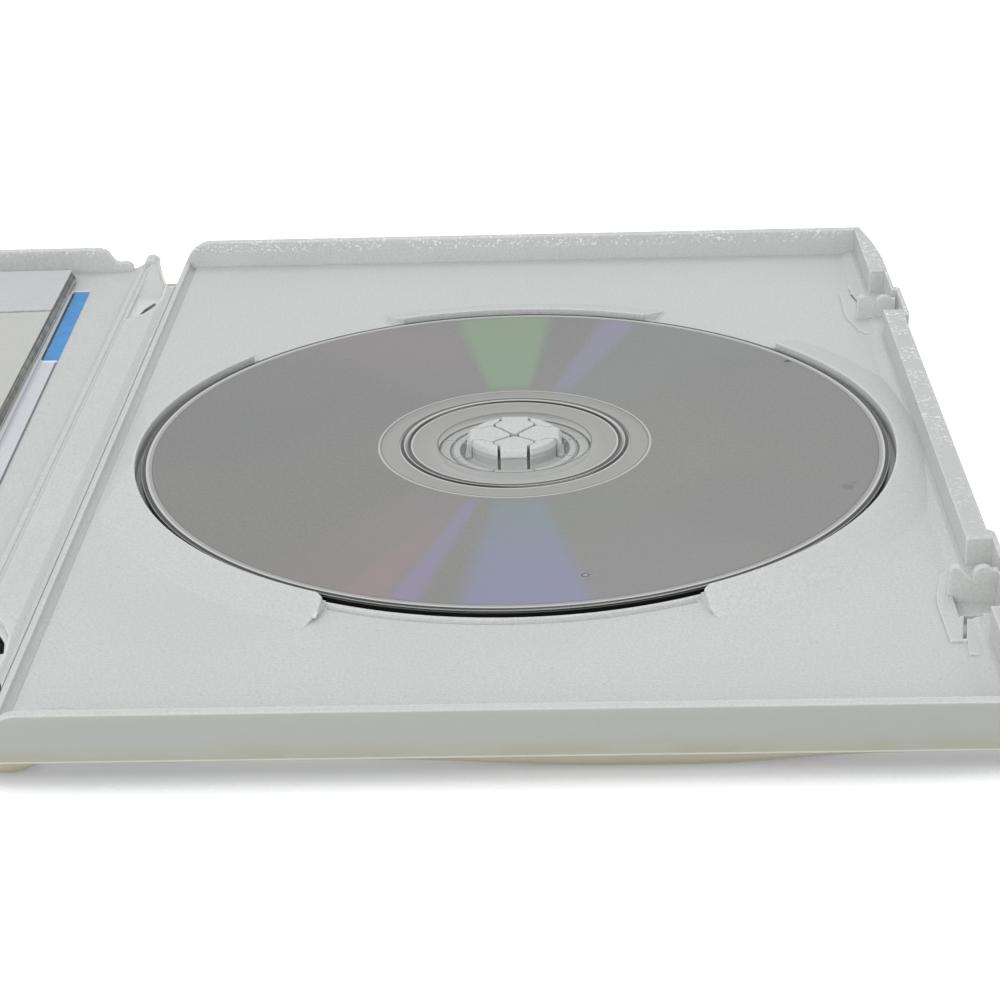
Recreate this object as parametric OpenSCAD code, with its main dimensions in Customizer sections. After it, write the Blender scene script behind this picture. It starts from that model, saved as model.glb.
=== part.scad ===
// Keep case for one 120 mm game disc, lying open flat.
// X runs from the front cover (-X) to the disc tray (+X), Y from the near end
// to the far end, Z up. The origin is under the middle of the spine, on the
// surface that the case lies on. Both hinge axes run along Y.

/* [Case] */
// Length of the case along the spine
case_len = 190; // [186:0.5:194]
// Width of each half from its hinge axis to the opening edge
panel_w = 134.9; // [134:0.1:136]
// Distance between the two hinge axes
spine_span = 7.9; // [7.5:0.1:8.5]
// Height of the tray half from its outer face to its rim
tray_h = 6.9; // [6.5:0.1:7]
// Height of the cover half from its outer face to its rim
cover_h = 5.9; // [5:0.1:6]
// Outer radius of the rolled edge beside each hinge
roll_r = 2.65; // [2.6:0.01:2.7]
// Wall thickness of the rolled edge
roll_t = 1; // [0.8:0.05:1.1]
// Height of the case's outer faces above the lowest fold of the sleeve
lift = 2.3; // [2.3:0.1:2.6]

/* [Tray] */
// Thickness of the tray's raised deck
deck_t = 1.9; // [1.8:0.05:2]
// Thickness of the floor of the disc well
well_t = 1; // [0.9:0.05:1.1]
// Radius of the disc well
well_r = 61; // [60.8:0.1:61.3]
// Radius where the sloping bank around the well meets the deck
bank_r = 68.6; // [67:0.1:69]
// Height of the bank's crest above the deck
bank_h = 1.75; // [1.2:0.05:1.8]
// Distance of the disc's centre from the tray's hinge axis
disc_from_hinge = 66.4; // [66:0.1:67]
// Thickness of the end walls
wall_t = 1.6; // [1.3:0.1:1.8]

/* [Hub] */
// Radius of the ring that the disc rests on
seat_r = 12.2; // [11.8:0.1:12.6]
// Radius of the hub in the disc's centre hole
hub_r = 7.2; // [7.1:0.05:7.25]
// Radius of the retaining lips on the moving petals
lip_r = 7.62; // [7.6:0.02:7.66]
// Height of the hub above the disc's upper face
hub_h = 1.5; // [1.3:0.1:1.6]
// Width of the stem of a petal
stem_w = 4.2; // [4:0.1:4.4]
// Width of the grooves between the petals
groove_w = 0.6; // [0.55:0.05:0.7]

/* [Disc] */
// Diameter of the disc
disc_d = 120; // [119.7:0.1:120.3]
// Thickness of the disc
disc_t = 1.2; // [1.15:0.05:1.2]
// Diameter of the disc's centre hole
disc_hole_d = 15; // [15:0.1:15.1]

/* [Paper] */
// Width of the manual
manual_w = 115; // [110:0.5:116]
// Length of the manual
manual_len = 176; // [170:0.5:177]
// Thickness of the closed manual
manual_t = 1.7; // [1.2:0.1:1.9]
// Width of the folded leaflet
leaflet_w = 105; // [95:0.5:106]
// Length of the folded leaflet
leaflet_len = 165; // [150:0.5:165]
// Length of the printed insert along the spine
insert_len = 183; // [180:0.5:184]
// Length of the clear sleeve along the spine
sleeve_len = 188.4; // [186:0.1:188.6]

/* [Hidden] */

e = 0.01;
hl = case_len / 2;
hx = spine_span / 2;                 // hinge axes at x = +hx and x = -hx
hz = lift + roll_r;                  // height of both hinge axes
edge_x = hx + panel_w;               // opening edge of either half
deck_z = lift + deck_t;
floor_z = lift + 1.2;                // inner face of the cover half
rim_z = lift + tray_h;
crim_z = lift + cover_h;
dx = hx + disc_from_hinge;           // disc centre
disc_z = deck_z + 1 - disc_t;        // underside of the disc
disc_top = disc_z + disc_t;
hub_z = disc_top + hub_h;
pivot_r = 7.6;                       // petals bend at this radius
pivot_z = lift + 0.9;
web = 0.25;                          // half thickness of the hinge web
fit = 0.05;

// points on an arc in the plane, from angle a0 to a1 in n steps
function arc(cx, cy, r, a0, a1, n) =
    [for (i = [0:n]) let (a = a0 + (a1 - a0) * i / n) [cx + r * cos(a), cy + r * sin(a)]];

// extrude an XZ outline along Y, between y0 and y1
module along_y(y0, y1) {
    translate([0, y1, 0]) rotate([90, 0, 0]) linear_extrude(y1 - y0) children();
}

// the same child at the far end and mirrored at the near end
module both_ends() {
    children();
    mirror([0, 1, 0]) children();
}

// a rectangle with its two +X corners rounded
module round_right(x0, y0, x1, y1, r) {
    union() {
        translate([x0, y0]) square([x1 - x0 - r, y1 - y0]);
        translate([x0, y0 + r]) square([x1 - x0, y1 - y0 - 2 * r]);
        translate([x1 - r, y0 + r]) circle(r, $fn = 64);
        translate([x1 - r, y1 - r]) circle(r, $fn = 64);
    }
}

// ---- sections shared by the two halves ----

// rolled edge and hinge web of the tray half; the web ends in a round bead
// on the hinge axis, which is the line that the moulding flexes about
module roll_section() {
    polygon(concat(
        [[hx + roll_r + 0.4, lift]],
        arc(hx - web + roll_r, hz, roll_r, 270, 180, 14),
        arc(hx, hz, web, 172, 90, 5),
        [[hx + web + roll_t - 0.5, hz + web]],
        arc(hx - web + roll_r, hz, roll_r - roll_t, 180, 270, 12),
        [[hx + roll_r + 0.4, lift + roll_t]]));
}

// the cover half's rolled edge blends into its floor in a longer sweep
module cover_roll_section() {
    polygon(concat(
        [[-hx - roll_r - 4, lift]],
        arc(-hx + web - roll_r, hz, roll_r, 270, 360, 14),
        arc(-hx, hz, web, 8, 90, 5),
        [[-hx - web - 0.45, hz + web], [-hx - web - 0.75, hz - 0.1],
         [-hx - web - 1.2, hz - 0.62], [-hx - web - 1.8, hz - 1.02],
         [-hx - web - 2.6, hz - 1.27], [-hx - web - 3.6, hz - 1.4],
         [-hx - roll_r - 4, floor_z]]));
}

// ---- tray half ----

// outline of the tray in plan, with the latch swellings on its opening edge
module tray_plan() {
    intersection() {
        round_right(hx + roll_r, -hl, edge_x, hl, 1.2);
        polygon([[0, -hl - 1], [edge_x - 2.5, -hl - 1], [edge_x - 2.3, -hl], [edge_x - 1.1, -hl + 7.5],
            [edge_x - 0.45, -hl + 12.5], [edge_x, -hl + 20], [edge_x, hl - 20], [edge_x - 0.45, hl - 12.5],
            [edge_x - 1.1, hl - 7.5], [edge_x - 2.3, hl], [edge_x - 2.5, hl + 1], [0, hl + 1]]);
    }
    for (s = [-1, 1]) translate([edge_x - 5, s * 52.2]) union() {
        translate([0, -6.2]) square([6, 12.4]);
        translate([4.5, -6.2]) circle(1.5, $fn = 32);
        translate([4.5, 6.2]) circle(1.5, $fn = 32);
    }
}

// outer wall of the tray: end walls with a rounded spine-side corner,
// and the thicker wall along the opening edge
module tray_walls() {
    intersection() {
        both_ends() along_y(hl - wall_t, hl) polygon(concat(
            [[hx + roll_r, lift + 0.5], [edge_x + 2, lift + 0.5], [edge_x + 2, rim_z]],
            arc(hx + 5.25, rim_z - 5.5, 5.5, 90, 168, 14),
            [[hx + 0.2, hz - 0.3], [hx + 0.6, hz - 1.2]]));
        union() {
            tray_plan_slab();
            translate([0, -hl, 0]) cube([hx + roll_r + 1, case_len, 12]);
        }
    }
    // opening-edge wall; its rim is notched at the two latches
    difference() {
        intersection() {
            tray_plan_slab();
            translate([edge_x - 3.35, -hl, lift + 0.5]) cube([6, case_len, rim_z - lift - 0.5]);
        }
        both_ends() translate([edge_x - 4, 47.6, deck_z + 0.8]) union() {
            cube([3.4, 21.2, 9]);
            cube([4.3, 10.6, 9]);
        }
    }
    // low step at the foot of the opening-edge wall
    along_y(-hl + 1, hl - 1) polygon([
        [edge_x - 6.1, deck_z - 0.4], [edge_x - 3, deck_z - 0.4], [edge_x - 3, deck_z + 0.75],
        [edge_x - 4.1, deck_z + 0.7], [edge_x - 4.4, deck_z + 0.6], [edge_x - 5.6, deck_z + 0.1],
        [edge_x - 6.1, deck_z]]);
}

module tray_plan_slab() {
    translate([0, 0, lift]) linear_extrude(tray_h) tray_plan();
}

// one stretch of the sloping bank around the disc well, with drafted ends;
// skew0 and skew1 turn the end faces away from the radial direction
module bank(a0, a1, skew0, skew1) {
    translate([dx, 0, 0]) difference() {
        rotate([0, 0, a0 - 4]) rotate_extrude(angle = a1 - a0 + 8, $fn = 180)
            polygon(concat(
                [[bank_r, deck_z - 0.5], [bank_r, deck_z], [bank_r - 0.6, deck_z + 0.07]],
                [[well_r + 0.6, deck_z + bank_h - 0.08]],
                arc(well_r + 0.16, deck_z + bank_h - 0.2, 0.2, 75, 165, 6),
                [[well_r - 0.4, deck_z + bank_h - 0.8], [well_r - 0.4, deck_z - 0.5]]));
        rotate([0, 0, a1]) bank_end(skew1);
        rotate([0, 0, a0]) mirror([0, 1, 0]) bank_end(skew0);
    }
}
module bank_end(skew) {
    translate([well_r, 0, 0]) rotate([0, 0, skew]) {
        translate([-2, 0, 0]) rotate([90, 0, 90]) linear_extrude(bank_r - well_r + 5) polygon([
            [0, deck_z + bank_h + 0.1], [0.3, deck_z + bank_h - 0.3], [0.75, deck_z - 0.1],
            [0.75, deck_z - 0.6], [9, deck_z - 0.6], [9, deck_z + 4], [0, deck_z + 4]]);
        // eased corner beside the well
        translate([0, 0, deck_z + 0.62]) rotate([0, 0, 45]) translate([-1.5, -0.5, 0]) cube([3, 3, 3]);
    }
}

// small bead along the edge of the well, which runs under the banks
module well_bead() {
    translate([dx, 0, 0]) rotate_extrude($fn = 240) polygon(concat(
        [[well_r + 0.75, deck_z - 0.5]],
        arc(well_r + 0.28, deck_z + 0.2, 0.32, 0, 150, 9),
        [[well_r - 0.4, deck_z + 0.34], [well_r - 0.4, deck_z - 0.5]]));
}

// latch on the opening edge: a pocket that takes the cover's hook, closed on
// its inner side by a wall with two round-topped lobes; a slotted tongue and a
// low pad lie beside it. Drawn at +Y.
module latch_pad() {
    // low pad
    translate([0, 0, deck_z - 0.3]) linear_extrude(0.7) polygon([
        [edge_x - 3, 48], [edge_x - 6.2, 48.6], [edge_x - 7.3, 50.2], [edge_x - 7.9, 53],
        [edge_x - 8.6, 56], [edge_x - 8.9, 58.5], [edge_x - 8.7, 69.7], [edge_x - 3, 69.7]]);
    // tongue
    translate([0, 0, deck_z - 0.3]) linear_extrude(0.7) polygon([
        [edge_x - 3, 63.5], [edge_x - 5.6, 63.5], [edge_x - 6.75, 73], [edge_x - 6.7, 73.4], [edge_x - 4.6, 73.8], [edge_x - 3, 73.8]]);
    // wall with two lobes
    along_y(55.4, 56.4) union() {
        polygon([[edge_x - 7.3, deck_z - 0.3], [edge_x - 0.2, deck_z - 0.3], [edge_x - 0.2, rim_z - 2.1],
                 [edge_x - 3.6, rim_z - 2.1], [edge_x - 4.05, rim_z - 2.05], [edge_x - 4.6, rim_z - 1.4],
                 [edge_x - 5.15, rim_z - 0.75], [edge_x - 7.05, rim_z - 0.9], [edge_x - 7.1, deck_z + 2]]);
        translate([edge_x - 6.05, rim_z - 1.15]) circle(1, $fn = 40);
        translate([edge_x - 2.2, rim_z - 1.7]) circle(1.5, $fn = 48);
        translate([edge_x - 1.6, rim_z - 2.4]) square([1.4, 1.6]);
    }
}

module latch_cuts() {
    // hook pocket
    translate([edge_x - 6.5, 56.4, deck_z - 0.75]) cube([5.9, 6.3, 6]);
    // slot at the tongue's free end and slit along its side
    translate([edge_x - 5.75, 60.3, lift - 1]) cube([2.5, 3.2, 5]);
    translate([0, 0, lift - 1]) linear_extrude(5) polygon([
        [edge_x - 5.75, 62.3], [edge_x - 5.3, 62.3], [edge_x - 6.45, 69.3], [edge_x - 6.95, 69.3]]);
}

// plan outline of the front petal's head and stem, point toward the centre.
// grow > 0 gives the opening around it.
module petal_plan(grow) {
    w = stem_w / 2 + grow * 1.6;
    polygon([
        [-w, -12], [w, -12], [w, -5.1], [3.1 + grow * 0.9, -4.05 - grow * 0.3],
        [3.1 + grow * 0.9, -3.52 + grow * 0.6], [0.35 + grow * 0.4, -0.77 + grow],
        [-0.35 - grow * 0.4, -0.77 + grow], [-3.1 - grow * 0.9, -3.52 + grow * 0.6],
        [-3.1 - grow * 0.9, -4.05 - grow * 0.3], [-w, -5.1]]);
}

// section of a petal along its length: foot, stem, lip and sloping head
module petal_section() {
    polygon([
        [-pivot_r + 0.75, pivot_z - 0.2], [-pivot_r + 0.75, disc_top + 0.25],
        [-5.0, hub_z - 1.15], [-0.5, hub_z - 1.35], [-0.5, hub_z - 0.32],
        [-2.4, hub_z - 0.08], [-4.6, hub_z], [-6.75, hub_z], [-7.1, hub_z - 0.12],
        [-7.3, hub_z - 0.4], [-lip_r, disc_top + 0.62], [-lip_r, disc_top + 0.38],
        [-7.3, disc_top + 0.12], [-7.15, disc_top - 0.2], [-7.15, disc_z - 0.15],
        [-pivot_r - 0.35, disc_z - 0.5], [-pivot_r - 0.35, pivot_z - 0.2]]);
}

module petal(a) {
    color([0.9, 0.91, 0.9]) translate([dx, 0, 0]) rotate([0, 0, a]) intersection() {
        translate([-10, 0, 0]) rotate([90, 0, 90]) linear_extrude(20) petal_section();
        translate([0, 0, pivot_z - 1]) linear_extrude(9) petal_plan(0);
        translate([0, 0, pivot_z - 1]) cylinder(9, r = pivot_r + 0.5, $fn = 96);
    }
}
module petal_front() { petal(0); }
module petal_right() { petal(90); }
module petal_back() { petal(180); }
module petal_left() { petal(270); }

// the four fixed posts between the petals, and the ring that carries them
module hub_fixed() {
    // seat ring with its two shallow steps; the disc's clear centre rests on it
    translate([dx, 0, 0]) difference() {
        rotate_extrude($fn = 120) polygon([
        [8.55, lift + 0.3], [seat_r + 0.7, lift + 0.3], [seat_r + 0.7, lift + well_t + 0.1],
        [seat_r + 0.25, disc_z - 0.25], [seat_r, disc_z], [10.6, disc_z],
        [10.4, disc_z - 0.2], [10.1, disc_z - 0.2], [9.9, disc_z], [8.9, disc_z],
        [8.65, disc_z - 0.15], [8.55, disc_z - 0.4]]);
        // fine radial lines on both sides of each petal's foot
        for (a = [0:90:270], s = [-20, 20]) rotate([0, 0, a + s])
            translate([8.7, -0.2, disc_z - 0.3]) cube([4, 0.4, 2]);
    }
    // posts
    translate([dx, 0, 0]) difference() {
        rotate_extrude($fn = 96) polygon([
            [0, lift + 0.3], [8.7, lift + 0.3], [8.7, lift + 1.0], [7.5, disc_z - 0.75],
            [hub_r, disc_z - 0.3], [hub_r, disc_top + 0.1], [7.3, disc_top + 0.35],
            [7.3, disc_top + 0.6], [6.95, hub_z - 0.1], [6.6, hub_z], [5, hub_z],
            [2.8, hub_z - 0.25], [0, hub_z - 0.25]]);
        // cavity under the petal heads
        translate([0, 0, lift + 0.55]) cylinder(4.05, r = 5.1, $fn = 64);
        // openings for the petals
        for (a = [0:90:270]) rotate([0, 0, a]) {
            translate([0, 0, lift + 0.55]) linear_extrude(8) petal_plan(groove_w / 2);
        }
        translate([0, 0, lift + 0.55]) cylinder(8, r = 1.9, $fn = 48);
    }
}

module tray() {
    color([0.86, 0.87, 0.86]) difference() {
        union() {
            // floor slab and deck
            intersection() {
                tray_plan_slab();
                translate([hx + 1.9, -hl, lift - e]) cube([panel_w + 4, case_len, deck_t + e]);
            }
            along_y(-hl, hl) roll_section();
            // deck's edge, one small step above the shallow trough of the rolled edge
            along_y(-hl, hl) polygon([
                [hx + 0.5, lift + 0.55], [hx + 1.0, lift + 0.3], [hx + 3.6, lift + 0.3],
                [hx + 3.6, deck_z], [hx + 2.05, deck_z], [hx + 1.9, deck_z - 0.12],
                [hx + 1.86, deck_z - 0.36], [hx + 1.6, deck_z - 0.38], [hx + 1.3, deck_z - 0.3],
                [hx + 1.0, deck_z - 0.05], [hx + 0.5, deck_z + 0.5]]);
            tray_walls();
            intersection() {
                union() {
                    bank(-63.1, 42.4, 14, 0);
                    bank(67.6, 111, 0, 0);
                    bank(139.5, 244.4, 0, 15);
                    well_bead();
                }
                // the bank runs out to the deck before it reaches the hinge side
                along_y(-hl, hl) polygon([
                    [hx + 2.15, lift + 1], [edge_x - 1, lift + 1], [edge_x - 1, 20],
                    [hx + 5.2, 20], [hx + 5.2, deck_z + 1.62], [hx + 2.15, deck_z - 0.1]]);
            }
            intersection() {
                both_ends() latch_pad();
                tray_plan_slab();
            }
        }
        // disc well
        translate([dx, 0, lift + well_t]) cylinder(6, r = well_r, $fn = 240);
        // shallow dish outside the bead where the bank is left out
        for (a = [[43.4, 66.6], [112.0, 138.5], [245.6, 295.4]]) translate([dx, 0, 0])
            rotate([0, 0, a[0]]) rotate_extrude(angle = a[1] - a[0], $fn = 180)
                polygon([[well_r + 0.66, deck_z + 0.1], [well_r + 0.72, deck_z - 0.28],
                         [well_r + 1.02, deck_z - 0.28], [well_r + 1.2, deck_z - 0.1],
                         [well_r + 4.5, deck_z - 0.08],
                         [bank_r, deck_z], [bank_r, deck_z + 0.5], [well_r + 0.66, deck_z + 0.5]]);
        both_ends() latch_cuts();
        // clearance for the petals' feet
        translate([dx, 0, lift + 0.45]) cylinder(6, r = 5, $fn = 64);
        // bottom edge of the opening side eased
        along_y(-hl - 1, hl + 1) polygon([[edge_x - 0.6, lift - 1], [edge_x + 3, lift - 1],
            [edge_x + 3, lift + 1.2], [edge_x + 1.1, lift + 0.3], [edge_x, lift + 0.6], [edge_x - 0.6, lift]]);
        for (a = [0:90:270]) translate([dx, 0, lift + 0.55]) rotate([0, 0, a]) linear_extrude(9)
            intersection() {
                petal_plan(groove_w / 2);
                circle(pivot_r + 0.5 + 0.3, $fn = 96);
            }
    }
    color([0.9, 0.91, 0.9]) hub_fixed();
}

// ---- spine ----

spine_notch = [[-1.5, hl + 1], [-1.5, 94.2], [-0.7, 90.4], [0.6, 84.6], [1.6, 80.8],
    [2.1, 79.2], [2.6, 78.3], [3.1, 78.3], [3.45, 78.9], [3.6, 79.8], [6, 79.8], [6, hl + 1]];

module spine() {
    color([0.87, 0.88, 0.87]) difference() {
        union() {
            // panel with a raised flat between the hinges
            along_y(-hl, hl) polygon([
                [-hx + web + fit, hz - web], [hx - web - fit, hz - web],
                [hx - web - fit, hz + web], [hx - 0.85, hz + web + 0.05],
                [hx - 1.75, hz + 0.93], [hx - 2.0, hz + 0.98], [-hx + 1.55, hz + 0.98],
                [-hx + 1.3, hz + 0.93], [-hx + 0.8, hz + web + 0.12], [-hx + web + fit, hz + web]]);
            // round-topped ear at each end
            both_ends() along_y(hl - 3.6, hl) intersection() {
                translate([-2.95, hz + 0.35]) circle(1.3, $fn = 48);
                translate([-4.3, hz - 0.05]) square([3, 2]);
            }
        }
        // notch that clears the end wall of the tray
        both_ends() translate([0, 0, hz - 1]) linear_extrude(4) polygon(spine_notch);
        // scooped pocket at each end, deepest at its inner corner
        both_ends() intersection() {
            translate([0, 0, hz - 1]) linear_extrude(4) polygon([
                [-2.75, 60.2], [-2.3, 59.6], [0.3, 62.4], [1.9, 66.5], [2.3, 72],
                [2.0, 78], [0.4, 83.6], [-0.6, 87.4], [-1.5, 90.6], [-2.75, 92.4]]);
            translate([-5, 0, 0]) rotate([90, 0, 90]) linear_extrude(12) polygon([
                [58, hz + 0.1], [67, hz], [74, hz + 0.2], [84, hz + 0.55], [91.2, hz + 0.96], [91.2, hz + 2],
                [58, hz + 2]]);
        }
        // the inner corner of the pocket is open
        both_ends() translate([0, 0, hz - 1]) linear_extrude(4) polygon([
            [-0.9, 64.4], [0.2, 64.6], [1.3, 66.8], [1.9, 70.2], [0.9, 70.6], [-0.4, 67.4]]);
    }
}

// ---- cover half ----

module clip() {
    // arm that reaches over the manual's outer edge
    along_y(38, 50) polygon([
        [-edge_x + 0.8, crim_z - 1.4], [-edge_x + 12.5, crim_z - 1.9], [-edge_x + 13.4, crim_z - 1.4],
        [-edge_x + 13, crim_z - 0.9], [-edge_x + 2, crim_z - 0.5], [-edge_x + 0.8, crim_z - 0.5]]);
}

module hook() {
    // blade with a small nose, which snaps into the tray's latch pocket
    along_y(57, 62.2) polygon([
        [-edge_x + 1.9, floor_z - 0.3], [-edge_x + 3.3, floor_z - 0.3],
        [-edge_x + 3.1, 2 * hz + spine_span - deck_z - 2.6],
        [-edge_x + 3.75, 2 * hz + spine_span - deck_z - 1.9],
        [-edge_x + 3.75, 2 * hz + spine_span - deck_z - 1.5],
        [-edge_x + 2.9, 2 * hz + spine_span - deck_z - 0.6],
        [-edge_x + 2.3, 2 * hz + spine_span - deck_z - 0.6]]);
}

module front_cover() {
    color([0.85, 0.86, 0.85]) difference() {
        union() {
            // floor
            mirror([1, 0, 0]) translate([0, 0, lift]) linear_extrude(floor_z - lift)
                round_right(hx + roll_r + 2, -hl, edge_x, hl, 4);
            along_y(-hl, hl) cover_roll_section();
            // end walls, ending in a rounded corner short of the hinge
            intersection() {
                both_ends() along_y(hl - 1.5, hl) polygon([
                    [-edge_x - 1, lift + 0.5], [-6.6, lift + 0.5], [-6.9, 4.7], [-7.4, 5.2],
                    [-8.4, 5.35], [-9.5, 5.25], [-10.3, 5.6], [-10.9, 6.4], [-11.5, 7.4],
                    [-12.2, 7.95], [-13.2, crim_z], [-edge_x - 1, crim_z]]);
                mirror([1, 0, 0]) translate([0, 0, lift]) linear_extrude(cover_h)
                    round_right(hx + 1, -hl, edge_x, hl, 4);
            }
            // wall along the opening edge
            intersection() {
                mirror([1, 0, 0]) translate([0, 0, lift]) linear_extrude(cover_h)
                    round_right(hx + roll_r + 2, -hl, edge_x, hl, 4);
                translate([-edge_x - 1, -hl, lift]) cube([2.6, case_len, cover_h]);
            }
            both_ends() clip();
            both_ends() hook();
        }
        // hinge edge cut away at both ends, where the spine's ears pass
        both_ends() translate([-6.5, 90.5, lift + 2.1]) cube([3.5, 6, 4]);
        // finger relief in the middle of the opening edge
        translate([-edge_x - 1, -22, crim_z - 1.1]) cube([3.2, 44, 3]);
    }
}

// ---- disc ----

module disc() {
    color([0.62, 0.62, 0.62]) translate([dx, 0, 0]) rotate_extrude($fn = 240) polygon([
        [disc_hole_d / 2, disc_z + 0.1], [disc_hole_d / 2 + 0.1, disc_z],
        [disc_d / 2 - 0.15, disc_z], [disc_d / 2, disc_z + 0.15], [disc_d / 2, disc_top - 0.15],
        [disc_d / 2 - 0.15, disc_top],
        [18.2, disc_top], [17.9, disc_top + 0.16], [17.2, disc_top + 0.16], [16.9, disc_top],
        [disc_hole_d / 2 + 0.1, disc_top], [disc_hole_d / 2, disc_top - 0.1]]);
}

// ---- printed insert and clear sleeve ----

// height of the moulding's side of the insert across each half: flat against
// the case, with one soft fold standing off it between x0 and x1, and the
// loop that drops under the spine
sag = lift - 0.35;
function smooth(t) = t <= 0 ? 0 : t >= 1 ? 1 : t * t * (3 - 2 * t);
function fold_z(x) =
    lift - sag * smooth((x - 46) / 38) * smooth((126 - x) / 32)
         - (sag - 0.05) * smooth((12.6 - x) / 5.4);
fold_xs = concat([for (x = [6.7:0.7:12.9]) x], [18, 30, 44], [for (x = [47:3:125]) x], [127, 132, edge_x - 1.6]);

module sheet_section(top, thick) {
    polygon(concat(
        [for (x = fold_xs) [x, fold_z(x) - top]],
        [for (i = [len(fold_xs) - 1:-1:0]) [fold_xs[i], fold_z(fold_xs[i]) - top - thick]]));
}
module half_sheet(len, top, thick) {
    along_y(-len / 2, len / 2) sheet_section(top, thick);
}
module spine_sheet(len, top, thick) {
    zt = lift - sag + 0.05 - top;
    along_y(-len / 2, len / 2) polygon([
        [-6.35, zt], [6.35, zt], [6.35, zt - thick], [-6.35, zt - thick]]);
}

module insert_back() { color([0.93, 0.92, 0.87]) half_sheet(insert_len, 0, 0.2); }
module insert_front() { color([0.93, 0.92, 0.87]) mirror([1, 0, 0]) half_sheet(insert_len, 0, 0.2); }
module insert_spine() { color([0.93, 0.92, 0.87]) spine_sheet(insert_len, 0, 0.2); }
module sleeve_back() { color([0.85, 0.84, 0.78, 0.5]) half_sheet(sleeve_len, 0.2, 0.15); }
module sleeve_front() { color([0.85, 0.84, 0.78, 0.5]) mirror([1, 0, 0]) half_sheet(sleeve_len, 0.2, 0.15); }
module sleeve_spine() { color([0.85, 0.84, 0.78, 0.5]) spine_sheet(sleeve_len, 0.2, 0.15); }

// ---- manual and leaflet ----

man_x1 = -17.75;                     // fore-edge of the manual
man_x0 = man_x1 - manual_w;          // folded back of the manual
man_z = floor_z + 0.45;
leaf_z = floor_z + 0.05;

module manual_cover() {
    // one folded sheet of card
    color([0.88, 0.88, 0.85]) difference() {
        translate([man_x0, -manual_len / 2 - 0.3, man_z]) cube([manual_w, manual_len, manual_t]);
        translate([man_x0 + 0.25, -manual_len / 2 - 2, man_z + 0.25])
            cube([manual_w, manual_len + 4, manual_t - 0.5]);
    }
}
module manual_pages() {
    color([0.7, 0.7, 0.7]) translate([man_x0 + 0.27, -manual_len / 2 - 0.3, man_z + 0.27])
        cube([manual_w - 0.4, manual_len, manual_t - 0.54]);
}
module manual_staples() {
    // two wire staples through the fold; their crowns lie outside it
    color([0.7, 0.7, 0.72]) for (y = [-45, 45])
        translate([man_x0 - 0.3, y - 6, man_z + manual_t / 2]) rotate([-90, 0, 0])
            cylinder(12, r = 0.28, $fn = 16);
}
module leaflet() {
    color([0.8, 0.8, 0.9]) translate([-13.5, 82.3, leaf_z]) rotate([0, 0, 1.2])
        translate([-leaflet_w, -leaflet_len, 0]) cube([leaflet_w, leaflet_len, 0.35]);
}

tray();
spine();
front_cover();
petal_front();
petal_back();
petal_left();
petal_right();
disc();
sleeve_back();
sleeve_spine();
sleeve_front();
insert_back();
insert_spine();
insert_front();
manual_cover();
manual_pages();
manual_staples();
leaflet();
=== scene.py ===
# Game disc case, lying open: finish, film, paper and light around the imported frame.
import bpy, bmesh, math, random
from mathutils import Vector, Matrix, noise


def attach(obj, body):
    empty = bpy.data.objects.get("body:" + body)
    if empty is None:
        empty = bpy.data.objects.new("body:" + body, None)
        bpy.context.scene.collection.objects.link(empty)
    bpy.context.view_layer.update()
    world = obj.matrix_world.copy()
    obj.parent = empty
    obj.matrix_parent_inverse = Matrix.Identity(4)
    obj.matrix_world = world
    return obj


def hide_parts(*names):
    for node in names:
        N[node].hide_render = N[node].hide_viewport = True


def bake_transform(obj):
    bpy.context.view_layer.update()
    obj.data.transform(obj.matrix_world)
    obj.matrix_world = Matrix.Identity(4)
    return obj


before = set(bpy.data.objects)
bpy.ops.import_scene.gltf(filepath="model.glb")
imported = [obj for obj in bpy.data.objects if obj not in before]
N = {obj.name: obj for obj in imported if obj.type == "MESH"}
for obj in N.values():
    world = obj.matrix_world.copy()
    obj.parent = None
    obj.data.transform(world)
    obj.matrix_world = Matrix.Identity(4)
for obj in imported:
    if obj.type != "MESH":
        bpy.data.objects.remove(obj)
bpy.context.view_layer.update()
MM = 0.001

# ------------------------------------------------------------------ frame numbers (mm)
LIFT = 2.3                    # outer faces above the surface
HX = 3.95                     # hinge axes at x = +-HX
HZ = 4.95
EDGE = 138.85                 # opening edges
DX = 70.35                    # disc centre
DISC_TOP = 5.2
DISC_BOT = 4.0
DECK = 4.2
FLOOR = 3.5                   # inner face of the cover half
RIM = 9.2
SAG = LIFT - 0.35


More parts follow.
